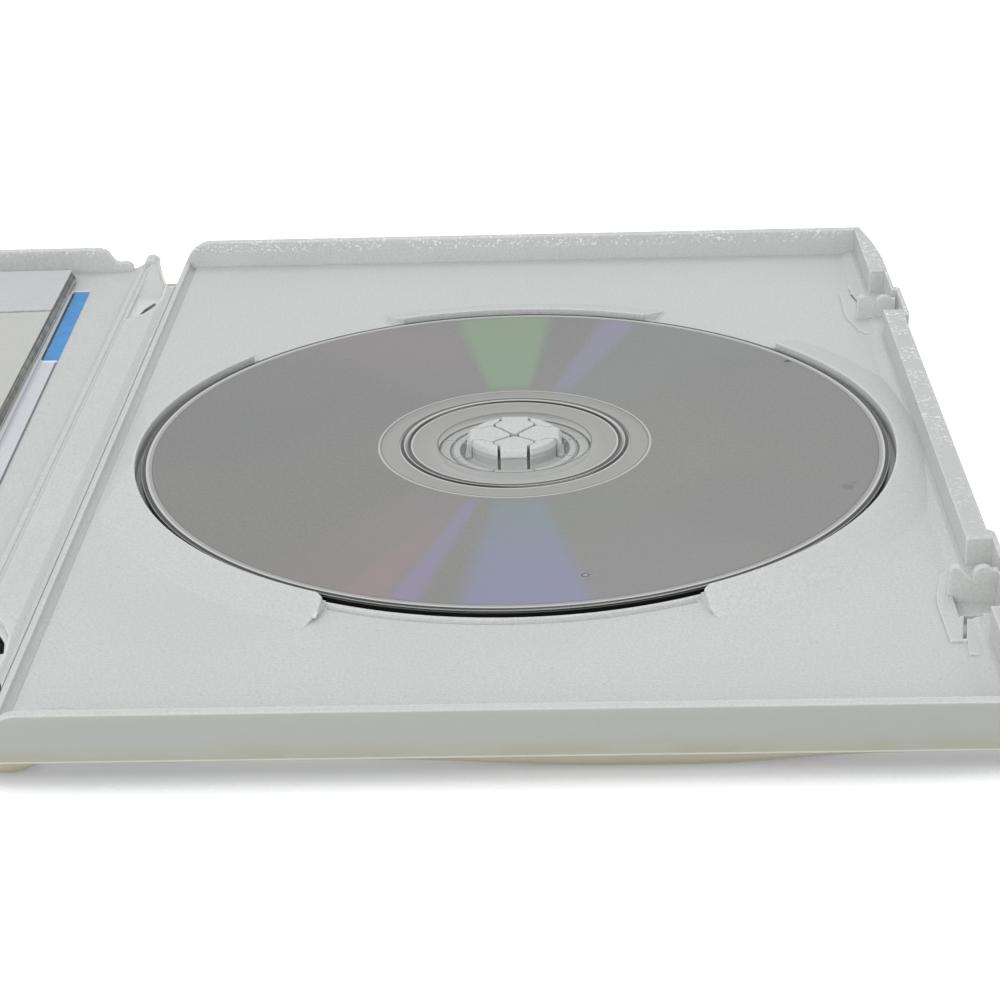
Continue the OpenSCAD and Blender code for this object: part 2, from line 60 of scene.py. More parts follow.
# ------------------------------------------------------------------ node helpers
class Mat:
    """Small helper for building one procedural material."""

    def __init__(self, name):
        self.m = bpy.data.materials.new(name)
        self.m.use_nodes = True
        self.t = self.m.node_tree
        self.t.nodes.clear()
        self.out = self.t.nodes.new("ShaderNodeOutputMaterial")
        self.b = self.t.nodes.new("ShaderNodeBsdfPrincipled")
        self.t.links.new(self.b.outputs[0], self.out.inputs["Surface"])

    def set(self, **kw):
        for k, v in kw.items():
            self.b.inputs[k.replace("_", " ")].default_value = v
        return self

    def node(self, kind, **kw):
        n = self.t.nodes.new("ShaderNode" + kind)
        for k, v in kw.items():
            setattr(n, k, v)
        return n

    def link(self, a, b):
        self.t.links.new(a, b)

    def put(self, sock, v):
        if hasattr(v, "is_output"):
            self.link(v, sock)
        else:
            sock.default_value = v

    def coords(self):
        """object space in millimetres"""
        tc = self.node("TexCoord")
        s = self.node("VectorMath", operation="SCALE")
        self.link(tc.outputs["Object"], s.inputs[0])
        s.inputs["Scale"].default_value = 1000.0
        return s.outputs["Vector"]

    def sheet_coords(self):
        """place on a bending sheet at rest, in millimetres"""
        return self.node("Attribute", attribute_name="sheet_place").outputs["Vector"]

    def normal_xyz(self):
        """object space normal, before any bump"""
        g = self.node("TexCoord")
        return self.xyz(g.outputs["Normal"])

    def xyz(self, v):
        s = self.node("SeparateXYZ")
        self.link(v, s.inputs[0])
        return s.outputs

    def math(self, op, a, b=0.0, c=0.0, clamp=False):
        n = self.node("Math", operation=op, use_clamp=clamp)
        self.put(n.inputs[0], a)
        self.put(n.inputs[1], b)
        self.put(n.inputs[2], c)
        return n.outputs[0]

    def mul(self, *a):
        r = a[0]
        for x in a[1:]:
            r = self.math("MULTIPLY", r, x)
        return r

    def noise(self, v, scale, detail=2.0, rough=0.5, dist=0.0):
        n = self.node("TexNoise")
        self.link(v, n.inputs["Vector"])
        n.inputs["Scale"].default_value = scale
        n.inputs["Detail"].default_value = detail
        n.inputs["Roughness"].default_value = rough
        n.inputs["Distortion"].default_value = dist
        return n.outputs["Fac"]

    def remap(self, v, a, b, c=0.0, d=1.0, smooth=True):
        n = self.node("MapRange", interpolation_type="SMOOTHSTEP" if smooth else "LINEAR")
        self.put(n.inputs["Value"], v)
        for k, x in zip(("From Min", "From Max", "To Min", "To Max"), (a, b, c, d)):
            self.put(n.inputs[k], x)
        return n.outputs["Result"]

    def band(self, v, lo, hi, soft):
        """1 between lo and hi, falling to 0 over soft outside them"""
        return self.mul(self.remap(v, lo - soft, lo), self.remap(v, hi + soft, hi))

    def mix(self, f, a, b, mode="MIX"):
        n = self.node("Mix", data_type="RGBA", blend_type=mode)
        self.put(n.inputs[0], f)
        self.put(n.inputs[6], a)
        self.put(n.inputs[7], b)
        return n.outputs[2]

    def bump(self, h, strength, dist, normal=None):
        n = self.node("Bump")
        n.inputs["Strength"].default_value = strength
        n.inputs["Distance"].default_value = dist
        self.link(h, n.inputs["Height"])
        if normal is not None:
            self.link(normal, n.inputs["Normal"])
        return n.outputs["Normal"]

    def soft_edges(self, radius):
        n = self.node("Bevel")
        n.samples = 4
        n.inputs["Radius"].default_value = radius
        return n.outputs["Normal"]

    def edge_mask(self, dist):
        """near 1 on thin convex edges"""
        n = self.node("AmbientOcclusion")
        n.inside = True
        n.only_local = True
        n.samples = 4
        n.inputs["Distance"].default_value = dist
        return self.math("SUBTRACT", 1.0, n.outputs["AO"])

    def vec(self, x, y, z):
        n = self.node("CombineXYZ")
        for s, v in zip(n.inputs, (x, y, z)):
            self.put(s, v)
        return n.outputs[0]


def lin(c):
    return (c / 255 / 12.92) if c / 255 <= 0.04045 else ((c / 255 + 0.055) / 1.055) ** 2.4


def rgb(r, g, b):
    """sRGB 0-255 to linear RGBA"""
    return (lin(r), lin(g), lin(b), 1.0)


def assign(o, *mats):
    o.data.materials.clear()
    for m in mats:
        o.data.materials.append(m)


# ------------------------------------------------------------------ moulded plastic
def plastic(name, tint, outer=True, rims=True):
    m = Mat(name)
    v = m.coords()
    x, y, z = m.xyz(v)
    nx, ny, nz = m.normal_xyz()
    big = m.noise(v, 0.03, 3, 0.55)
    base = m.mix(m.remap(big, 0.3, 0.7), rgb(*[c - 3 for c in tint]), rgb(*[c + 1 for c in tint]))
    # fine mottle of the spark-eroded mould
    grain = m.noise(v, 2.4, 3, 0.7)
    base = m.mix(m.remap(grain, 0.36, 0.64, 0.0, 0.85), base, rgb(*[c - 13 for c in tint]))
    dust = m.noise(v, 1.6, 1, 0.3)
    base = m.mix(m.remap(dust, 0.735, 0.78, 0.0, 0.4), base, rgb(*[c - 42 for c in tint]))
    if outer:
        # painted shade: the outer end faces are painted a little darker and warmer, most along their lower edge,
        # unevenly by noise
        ay = m.math("ABSOLUTE", y)
        face = m.mul(m.remap(ay, 94.6, 94.9), m.remap(m.math("ABSOLUTE", ny), 0.6, 0.9))
        low = m.remap(z, 5.4, 2.3)
        uneven_shade = m.remap(m.noise(m.vec(m.mul(x, 0.25), 0.0, z), 0.35, 3, 0.6), 0.4, 0.62)
        painted_face_shade = m.mix(low, rgb(*[int(c * k) for c, k in zip(tint, (0.885, 0.887, 0.865))]),
                     rgb(*[int(c * k) for c, k in zip(tint, (0.885, 0.877, 0.815))]))
        painted_face_shade = m.mix(m.mul(uneven_shade, low, 0.6), painted_face_shade, rgb(*[int(c * k) for c, k in zip(tint, (0.84, 0.82, 0.72))]))
        base = m.mix(m.mul(face, 0.95), base, painted_face_shade)
        # painted highlight: a light line along the bottom edge of the outer end faces
        base = m.mix(m.mul(m.remap(ay, 94.6, 94.8), m.remap(z, 2.62, 2.5), 0.8), base, rgb(232, 231, 224))
        # top of the thick wall along the opening edge, a little greyer
        top = m.mul(m.remap(x, EDGE - 3.6, EDGE - 3.3), m.remap(z, RIM - 0.6, RIM - 0.3))
        base = m.mix(top, base, rgb(*[int(c * 0.935) for c in tint]))
    if rims:
        # painted glints: small white flecks near the top of the far walls and along the opening edge
        n1 = m.noise(v, 1.7, 2, 0.65)
        n2 = m.noise(v, 0.16, 2, 0.5)
        far = m.mul(m.remap(y, 92.6, 93.0), m.remap(z, 6.6, 7.6))
        side = m.mul(m.remap(x, EDGE - 3.6, EDGE - 3.3), m.remap(z, RIM - 0.5, RIM - 0.2))
        where = m.math("MAXIMUM", far, m.mul(side, m.remap(y, -40.0, 20.0, 0.35, 1.0)))
        glint_flecks = m.mul(m.remap(n1, 0.575, 0.615), m.remap(n2, 0.36, 0.5), where)
        base = m.mix(m.mul(glint_flecks, 0.8), base, rgb(240, 241, 240))
        # seat ring: painted shade, fine dark lines in the grooves where it is stepped
        hx_, hy_ = m.math("SUBTRACT", x, DX), m.mul(y, 1.0)
        hr = m.math("SQRT", m.math("ADD", m.mul(hx_, hx_), m.mul(hy_, hy_)))
        low = m.remap(z, 4.3, 4.1)
        for r0, w, a in ((12.2, 0.3, 0.75), (10.35, 0.26, 0.7), (8.75, 0.26, 0.7), (10.0, 0.14, 0.3)):
            ln = m.remap(m.math("ABSOLUTE", m.math("SUBTRACT", hr, r0)), w, w * 0.4)
            base = m.mix(m.mul(ln, low, a), base, rgb(66, 67, 66))
        # witness mark of an ejector pin
        ex, ey = m.math("SUBTRACT", x, 12.45), m.math("ADD", y, 85.7)
        er = m.math("SQRT", m.math("ADD", m.mul(ex, ex), m.mul(ey, ey)))
        ring = m.remap(m.math("ABSOLUTE", m.math("SUBTRACT", er, 1.8)), 0.16, 0.05)
        base = m.mix(m.mul(ring, m.remap(z, 4.6, 4.3), 0.5), base, rgb(*[c - 34 for c in tint]))
    # painted highlight: thin convex edges lightened toward white
    edge = m.edge_mask(0.0005)
    base = m.mix(m.remap(edge, 0.24, 0.7, 0.0, 0.7), base, rgb(238, 239, 238))
    m.link(base, m.b.inputs["Base Color"])
    fine = m.noise(v, 4.2, 3, 0.6)
    m.link(m.bump(fine, 0.5, 0.00006, m.soft_edges(0.00022)), m.b.inputs["Normal"])
    m.link(m.remap(grain, 0.3, 0.7, 0.42, 0.56), m.b.inputs["Roughness"])
    m.set(IOR=1.49)
    m.b.inputs["Subsurface Weight"].default_value = 0.35
    m.b.inputs["Subsurface Radius"].default_value = (1.0, 1.0, 0.95)
    m.b.inputs["Subsurface Scale"].default_value = 0.0022
    return m


TINT = (202, 204, 202)
PLASTIC = plastic("case_polypropylene", TINT)
for n in ("tray", "spine", "front_cover"):
    assign(N[n], PLASTIC.m)
PETAL = plastic("hub_polypropylene", TINT, outer=False, rims=False)
for n in ("petal_front", "petal_back", "petal_left", "petal_right"):
    assign(N[n], PETAL.m)


# ------------------------------------------------------------------ mesh helpers
def new_object(name, verts, faces, mats, indices=None, smooth=True):
    me = bpy.data.meshes.new(name)
    me.from_pydata([tuple(c * MM for c in v) for v in verts], [], faces)
    for mt in mats:
        me.materials.append(mt)
    if indices is not None:
        me.polygons.foreach_set("material_index", indices)
    me.polygons.foreach_set("use_smooth", [smooth] * len(me.polygons))
    bm = bmesh.new()
    bm.from_mesh(me)
    bmesh.ops.recalc_face_normals(bm, faces=bm.faces)
    bm.to_mesh(me)
    bm.free()
    o = bpy.data.objects.new(name, me)
    bpy.context.scene.collection.objects.link(o)
    return o


def sharp(o, angle=35):
    """smooth shading that stops at real edges"""
    me = o.data
    bm = bmesh.new()
    bm.from_mesh(me)
    for e in bm.edges:
        if len(e.link_faces) == 2 and e.calc_face_angle(0) > math.radians(angle):
            e.smooth = False
    bm.to_mesh(me)
    bm.free()


def thick_sheet(rows, t):
    """rows: grid of points; returns a closed sheet of thickness t below the given surface"""
    nu, nv = len(rows), len(rows[0])
    P = [[Vector(p) for p in r] for r in rows]
    verts, faces = [], []
    for side in (0, 1):
        for i in range(nu):
            for j in range(nv):
                a = P[min(i + 1, nu - 1)][j] - P[max(i - 1, 0)][j]
                b = P[i][min(j + 1, nv - 1)] - P[i][max(j - 1, 0)]
                n = a.cross(b)
                n = n.normalized() if n.length > 1e-9 else Vector((0, 0, 1))
                verts.append(tuple(P[i][j] - n * (t if side else 0.0)))
    idx = lambda s, i, j: s * nu * nv + i * nv + j
    for i in range(nu - 1):
        for j in range(nv - 1):
            faces.append((idx(0, i, j), idx(0, i + 1, j), idx(0, i + 1, j + 1), idx(0, i, j + 1)))
            faces.append((idx(1, i, j), idx(1, i, j + 1), idx(1, i + 1, j + 1), idx(1, i + 1, j)))
    for i in range(nu - 1):
        faces.append((idx(0, i, 0), idx(1, i, 0), idx(1, i + 1, 0), idx(0, i + 1, 0)))
        faces.append((idx(0, i, nv - 1), idx(0, i + 1, nv - 1), idx(1, i + 1, nv - 1), idx(1, i, nv - 1)))
    for j in range(nv - 1):
        faces.append((idx(0, 0, j), idx(0, 0, j + 1), idx(1, 0, j + 1), idx(1, 0, j)))
        faces.append((idx(0, nu - 1, j), idx(1, nu - 1, j), idx(1, nu - 1, j + 1), idx(0, nu - 1, j + 1)))
    return verts, faces


# ------------------------------------------------------------------ disc
def disc_coords(m):
    v = m.coords()
    x, y, z = m.xyz(v)
    dx = m.math("SUBTRACT", x, DX)
    r = m.math("SQRT", m.math("ADD", m.mul(dx, dx), m.mul(y, y)))
    return v, dx, y, z, r


def disc_silver():
    m = Mat("disc_mirror")
    v, dx, y, z, r = disc_coords(m)
    polar = m.vec(m.mul(r, 1.0), 0.0, 0.0)
    rings = m.noise(polar, 2.2, 3, 0.7)
    big = m.noise(v, 0.018, 2, 0.5)
    grain = m.noise(v, 3.2, 2, 0.7)
    base = m.mix(m.remap(big, 0.32, 0.68), rgb(139, 140, 139), rgb(147, 147, 144))
    base = m.mix(m.remap(rings, 0.35, 0.65, 0.0, 0.35), base, rgb(137, 138, 136))
    base = m.mix(m.remap(grain, 0.35, 0.65, 0.0, 0.4), base, rgb(133, 133, 132))
    # painted reflections: soft spectral fans stand in for the disc's diffraction colours; degrees either side of
    # the far (+Y) and near (-Y) directions
    far = m.mul(m.math("ARCTAN2", dx, y), 180 / math.pi)
    near = m.mul(m.math("ARCTAN2", dx, m.mul(y, -1.0)), 180 / math.pi)
    rr = m.remap(r, 20.0, 58.0)
    edge = m.remap(r, 21.0, 26.0)

    def painted_fan(base, ang, lo, hi, soft, inner, outer, amount):
        col = m.mix(rr, rgb(*inner), rgb(*outer))
        return m.mix(m.mul(m.band(ang, lo, hi, soft), edge, amount), base, col)

    base = painted_fan(base, near, -34.0, -20.0, 9.0, (147, 143, 143), (152, 142, 142), 0.7)
    base = painted_fan(base, near, 14.0, 34.0, 12.0, (142, 145, 141), (146, 143, 145), 0.6)
    base = painted_fan(base, far, -34.0, -17.0, 10.0, (146, 142, 143), (149, 143, 144), 0.6)
    base = painted_fan(base, far, 26.0, 40.0, 10.0, (141, 145, 145), (141, 145, 144), 0.6)
    base = painted_fan(base, far, -9.4, 3.8, 3.4, (143, 162, 141), (143, 163, 138), 0.95)
    base = painted_fan(base, far, 16.6, 20.4, 2.8, (147, 146, 160), (148, 145, 163), 0.95)
    base = painted_fan(base, near, -4.6, 9.4, 4.0, (138, 150, 156), (144, 145, 170), 0.95)
    base = painted_fan(base, near, -15.8, -13.8, 2.2, (148, 145, 162), (149, 143, 165), 0.95)
    base = painted_fan(base, near, -22.2, -19.4, 3.0, (147, 143, 144), (158, 143, 145), 0.85)
    # specks
    def spot(base, cx, cy, rad, soft, col, amount):
        ax = m.math("SUBTRACT", dx, cx)
        ay = m.math("SUBTRACT", y, cy)
        d = m.math("SQRT", m.math("ADD", m.mul(ax, ax), m.mul(ay, ay)))
        return m.mix(m.mul(m.remap(d, rad + soft, rad), amount), base, rgb(*col))
    base = spot(base, 47.4, 33.9, 0.42, 0.3, (22, 22, 22), 0.95)
    base = spot(base, 46.7, 33.5, 0.2, 0.3, (30, 30, 30), 0.9)
    base = spot(base, 51.5, -20.0, 0.4, 1.0, (100, 101, 100), 0.5)
    base = spot(base, 52.6, -18.6, 0.25, 0.5, (110, 110, 108), 0.4)
    base = spot(base, 10.9, -49.2, 0.55, 0.15, (90, 90, 90), 0.9)
    base = spot(base, 10.9, -49.2, 0.3, 0.15, (170, 170, 170), 0.9)
    m.link(base, m.b.inputs["Base Color"])
    m.link(m.remap(grain, 0.3, 0.7, 0.36, 0.46), m.b.inputs["Roughness"])
    m.set(Metallic=0.92, IOR=1.58)
    m.b.inputs["Coat Weight"].default_value = 0.12
    m.b.inputs["Coat Roughness"].default_value = 0.25
    return m.m


def disc_clear():
    """clear polycarbonate inside the mirror layer"""
    m = Mat("disc_clear_centre")
    v, dx, y, z, r = disc_coords(m)
    col = m.mix(m.noise(v, 3.0, 2, 0.6), rgb(152, 153, 150), rgb(162, 163, 160))

    def line(col, r0, w, c, amount=1.0):
        d = m.math("ABSOLUTE", m.math("SUBTRACT", r, r0))
        return m.mix(m.mul(m.remap(d, w * 0.75, w * 0.4), amount), col, rgb(*c))
    # painted highlight and shade lines along the stacking ring's flanks and the clear zone's edges; the flanks are
    # painted dark or light by side
    side = m.remap(m.math("DIVIDE", y, m.math("MAXIMUM", r, 1.0)), -0.6, 0.6)
    lines = ((21.92, 0.24, (196, 197, 194), 0.9), (21.6, 0.24, (112, 112, 110), 0.6),
             (18.55, 0.24, (214, 215, 213), 0.85), (18.15, 0.46, (4, 4, 4), 1.0),
             (17.62, 0.4, (206, 206, 204), 0.9), (17.0, 0.44, (4, 4, 4), 1.0),
             (16.62, 0.22, (214, 214, 212), 0.8), (12.42, 0.24, (60, 60, 59), 0.8),
             (18.42, 0.62, (4, 4, 4), side), (17.36, 0.62, (4, 4, 4), m.math("SUBTRACT", 1.0, side)))
    mask = None
    for r0, w, c, a in lines:
        col = line(col, r0, w, c, a)
        d = m.math("ABSOLUTE", m.math("SUBTRACT", r, r0))
        k = m.mul(m.remap(d, w * 0.75, w * 0.35), a)
        mask = k if mask is None else m.math("MAXIMUM", mask, k)
    m.link(col, m.b.inputs["Base Color"])
    m.set(Roughness=0.16, IOR=1.58)
    # haze: how much of what lies under shows through
    inner = m.remap(r, 12.55, 12.3, 0.8, 0.1)
    m.link(m.math("MAXIMUM", inner, mask), m.b.inputs["Alpha"])
    return m.m


def disc_rim():
    """clear margin outside the mirror layer: a painted highlight line, then a dark line of painted shade for the
    shaded gap seen through the clear edge
    """
    m = Mat("disc_rim")
    v, dx, y, z, r = disc_coords(m)
    g = m.noise(v, 1.2, 2, 0.6)
    light = m.mix(g, rgb(146, 147, 145), rgb(160, 161, 159))
    dark = m.mix(g, rgb(14, 14, 14), rgb(24, 24, 24))
    # painted highlight line
    col = m.mix(m.remap(r, 58.82, 58.92), light, rgb(192, 193, 191))
    # painted shade: the shaded gap seen through the clear edge
    col = m.mix(m.remap(r, 59.2, 59.3), col, dark)
    col = m.mix(m.remap(r, 59.8, 59.9), col, rgb(140, 141, 139))
    m.link(col, m.b.inputs["Base Color"])
    m.set(Roughness=0.22, IOR=1.58)
    return m.m


def disc_under(solid):
    """underside of the clear zone, seen through the polycarbonate"""
    m = Mat("disc_clear_under_%d" % solid)
    v, dx, y, z, r = disc_coords(m)
    m.link(m.mix(m.noise(v, 2.0, 2), rgb(170, 171, 168), rgb(182, 183, 180)), m.b.inputs["Base Color"])
    m.set(Roughness=0.2, IOR=1.58)
    if solid:
        # painted light: the solid underside glows faintly, lifting the shade beneath the opaque ring of the clear
        # zone
        m.b.inputs["Emission Color"].default_value = (0.9, 0.91, 0.89, 1)
        m.link(m.remap(r, 12.4, 15.0, 0.26, 0.16), m.b.inputs["Emission Strength"])
    else:
        ring = m.remap(m.math("ABSOLUTE", m.math("SUBTRACT", r, 11.3)), 0.2, 0.05)
        m.link(m.remap(ring, 0.0, 1.0, 0.02, 0.05), m.b.inputs["Alpha"])
    return m.m


def disc_border():
    """fine dark line where the mirror layer ends"""
    m = Mat("disc_mirror_border")
    v, dx, y, z, r = disc_coords(m)
    m.link(m.mix(m.noise(v, 0.8, 2), rgb(88, 88, 87), rgb(118, 118, 116)), m.b.inputs["Base Color"])
    m.set(Roughness=0.3)
    return m.m


def disc_edge():
    """cut edge of the two bonded halves, painted near-black as shade seen through the clear edge, with a fine seam
    """
    m = Mat("disc_edge")
    v, dx, y, z, r = disc_coords(m)
    seam = m.remap(m.math("ABSOLUTE", m.math("SUBTRACT", z, 4.86)), 0.12, 0.05)
    col = m.mix(m.mul(seam, 0.7), rgb(9, 9, 9), rgb(120, 120, 118))
    m.link(m.mix(m.mul(m.noise(v, 0.5, 2), 0.4), col, rgb(18, 18, 18)), m.b.inputs["Base Color"])
    m.set(Roughness=0.5, IOR=1.4)
    m.b.inputs["Specular IOR Level"].default_value = 0.25
    return m.m


def disc_label():
    m = Mat("disc_label_side")
    v, dx, y, z, r = disc_coords(m)
    col = m.mix(m.band(r, 40.0, 52.0, 0.2), rgb(206, 208, 208), rgb(92, 142, 178))
    m.link(m.mix(m.remap(m.noise(v, 2.0, 2), 0.3, 0.7, 0, 0.2), col, rgb(180, 182, 182)), m.b.inputs["Base Color"])
    m.set(Roughness=0.38)
    return m.m


def lathe_disc():
    seg = 256
    # (r, z, material of the ring that follows): 0 mirror, 1 clear, 2 rim, 3 edge, 4 label side
    prof = [(7.6, 4.03, 6), (12.4, 4.03, 7), (22.0, 4.03, 4), (22.2, 4.0, 4), (40.0, 4.0, 4), (52.0, 4.0, 4), (59.85, 4.0, 3),
            (60.0, 4.12, 3), (60.0, 4.8, 3), (59.97, 4.86, 3), (60.0, 4.92, 3), (60.0, 5.08, 2),
            (59.94, 5.16, 2), (59.84, 5.2, 2), (59.1, 5.2, 2), (58.34, 5.2, 5), (58.12, 5.197, 0), (57.9, 5.195, 0),
            (50.0, 5.195, 0), (36.0, 5.195, 0), (23.0, 5.195, 0), (22.3, 5.195, 0), (22.1, 5.2, 1),
            (18.35, 5.2, 1), (18.15, 5.24, 1), (17.98, 5.33, 1), (17.75, 5.36, 1), (17.35, 5.36, 1),
            (17.1, 5.33, 1), (16.95, 5.24, 1), (16.8, 5.2, 1), (12.6, 5.2, 1), (12.4, 5.2, 1), (7.72, 5.2, 1),
            (7.56, 5.16, 1), (7.5, 5.08, 1), (7.5, 4.12, 1)]
    verts, faces, mi = [], [], []
    for k in range(seg):
        a = 2 * math.pi * k / seg
        for r, z, _ in prof:
            verts.append((DX + r * math.cos(a), r * math.sin(a), z))
    n = len(prof)
    for k in range(seg):
        k2 = (k + 1) % seg
        for i in range(n):
            j = (i + 1) % n
            faces.append((k * n + i, k2 * n + i, k2 * n + j, k * n + j))
            mi.append(prof[i][2])
    return verts, faces, mi


verts, faces, mi = lathe_disc()
disc = new_object("game_disc", verts, faces,
                  [disc_silver(), disc_clear(), disc_rim(), disc_edge(), disc_label(), disc_border(),
                   disc_under(0.0), disc_under(1.0)], mi)
sharp(disc, 24)
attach(disc, "tray_half")
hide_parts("disc")


# ------------------------------------------------------------------ sleeve and insert
def film_material():
    m = Mat("sleeve_film")
    v = m.sheet_coords()
    x, y, z = m.xyz(v)
    g = m.noise(v, 0.5, 3, 0.6)
    # folded margins at both ends are doubled and yellower
    hem = m.remap(m.math("ABSOLUTE", y), 93.2, 94.0)
    col = m.mix(g, rgb(203, 196, 172), rgb(192, 184, 158))
    col = m.mix(hem, rgb(226, 225, 220), col)
    # painted highlight along the fold
    col = m.mix(m.band(m.math("ABSOLUTE", y), 93.25, 93.6, 0.15), col, rgb(240, 239, 232))
    m.link(col, m.b.inputs["Base Color"])
    crease = m.noise(m.vec(m.mul(x, 0.12), m.mul(y, 0.5), 0.0), 1.0, 4, 0.6, 0.6)
    m.link(m.bump(crease, 0.3, 0.0003), m.b.inputs["Normal"])
    m.link(m.remap(g, 0.3, 0.7, 0.12, 0.24), m.b.inputs["Roughness"])
    m.link(m.remap(hem, 0.0, 1.0, 0.16, 0.7), m.b.inputs["Alpha"])
    m.set(IOR=1.5)
    return m.m


def insert_material():
    m = Mat("insert_paper")
    v = m.sheet_coords()
    x, y, z = m.xyz(v)
    fib = m.noise(m.vec(m.mul(x, 1.0), m.mul(y, 0.4), z), 1.3, 4, 0.65)
    paper = m.mix(fib, rgb(224, 218, 200), rgb(214, 206, 186))
    # plain printed fields: a pale ground, a blue band beside the spine, a darker foot
    white = rgb(226, 228, 226)
    ax = m.math("ABSOLUTE", x)
    field = m.mix(m.band(ax, 14.0, 30.0, 0.15), white, rgb(70, 138, 186))
    field = m.mix(m.band(ax, 31.6, 32.8, 0.1), field, rgb(150, 190, 214))
    field = m.mix(m.mul(m.band(y, -78.0, -60.0, 0.15), m.band(ax, 44.0, 126.0, 0.15)), field, rgb(188, 194, 198))
    field = m.mix(m.mul(m.band(y, -46.0, 62.0, 0.15), m.band(ax, 44.0, 126.0, 0.15)), field, rgb(205, 214, 220))
    field = m.mix(m.mul(m.band(y, -46.0, -38.0, 0.15), m.band(ax, 44.0, 126.0, 0.15)), field, rgb(96, 152, 192))
    field = m.mix(m.remap(fib, 0.3, 0.7, 0.0, 0.2), field, rgb(190, 190, 186))
    inside = m.mix(m.remap(m.math("ABSOLUTE", y), 90.4, 90.9), field, paper)
    m.link(inside, m.b.inputs["Base Color"])
    m.link(m.bump(fib, 0.2, 0.00005), m.b.inputs["Normal"])
    m.link(m.remap(fib, 0.3, 0.7, 0.38, 0.5), m.b.inputs["Roughness"])
    return m.m


def smooth(t):
    t = max(0.0, min(1.0, t))
    return t * t * (3 - 2 * t)


def drop(x):
    """how far the sheet hangs below the case at x >= 0"""
    d = SAG * smooth((x - 46) / 38) * smooth((126 - x) / 32)
    if x < 12.6:
        d += (SAG - 0.05) * smooth((12.6 - x) / 5.4)
    return d


def sheet_rows(side, half, top, edge, wave):
    """grid of one sheet from the middle of the spine to the opening edge"""
    xs = [0, 1.6, 3.2, 4.2, 5.2, 6.2, 7.0, 7.8, 8.6, 9.4, 10.2, 11.0, 11.8, 12.6, 14, 18, 24, 32, 40, 45]
    xs += [47 + 2.5 * i for i in range(32)] + [127.5, 130, 133.5, EDGE - 1.8]
    ts = [0.0, 0.03, 0.09, 0.18, 0.3, 0.45, 0.62, 0.8, 1.0]
    ys = [-half + edge * t for t in ts]
    n = 30
    ys += [-half + edge + (2 * half - 2 * edge) * i / n for i in range(1, n)]
    ys += [half - edge * t for t in reversed(ts)]
    rows = []
    for x in xs:
        row = []
        for y in ys:
            t = min(1.0, (half - abs(y)) / edge)
            s = math.sqrt(max(0.0, 1 - (1 - t) ** 2))
            if y > 0:
                s = s + (1 - s) * smooth((13.5 - x) / 5)
            w = wave * noise.noise(Vector((x * 0.045 + side * 9, y * 0.06, 0.4))) * smooth((91.5 - abs(y)) / 14)
            rim = smooth((half - 1.2 - abs(y)) / 2.0) if top > 0.15 else 1.0
            z = LIFT - 0.02 - (top + 0.01) * rim - (drop(x) - 0.02) * s
            if drop(x) > 0.5:
                z = max(z + w, 0.36 if top < 0.15 else 0.11)
            row.append((side * x, y, z))
        rows.append(row)
    return rows if side > 0 else rows[::-1]


def keep_place(o):
    """each point remembers where it lies at rest, so that the print bends with the sheet"""
    a = o.data.attributes.new("sheet_place", "FLOAT_VECTOR", "POINT")
    for item, v in zip(a.data, o.data.vertices):
        item.vector = v.co / MM


FILM, PAPER = film_material(), insert_material()
for side, body, tag in ((1, "tray_half", "back"), (-1, "cover_half", "front")):
    rows = sheet_rows(side, 94.85, 0.22, 1.5, 0.11)
    vs, fs = thick_sheet(rows, 0.1)
    film = new_object("sleeve_film_" + tag, vs, fs, [FILM])
    sharp(film, 60)
    keep_place(film)
    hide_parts("sleeve_" + tag, *(["sleeve_spine"] if side > 0 else []))
    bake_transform(film)
    rows = sheet_rows(side, 91.5, 0.03, 2.4, 0.11)
    vs, fs = thick_sheet(rows, 0.15)
    paper = new_object("insert_sheet_" + tag, vs, fs, [PAPER])
    sharp(paper, 60)
    keep_place(paper)
    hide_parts("insert_" + tag, *(["insert_spine"] if side > 0 else []))
    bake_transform(paper)

# ------------------------------------------------------------------ manual and leaflet
MAN_X1, MAN_W, MAN_L, MAN_Z, MAN_T = -17.75, 115.0, 176.0, 3.95, 1.7
TURN = math.radians(0.8)


def place(x, y, z):
    """the manual lies slightly turned in the cover half"""
    cx, cy = -75.0, 0.0
    X, Y = x + 0.9 - cx, y - cy
    return (cx + X * math.cos(TURN) - Y * math.sin(TURN), cy + X * math.sin(TURN) + Y * math.cos(TURN), z)


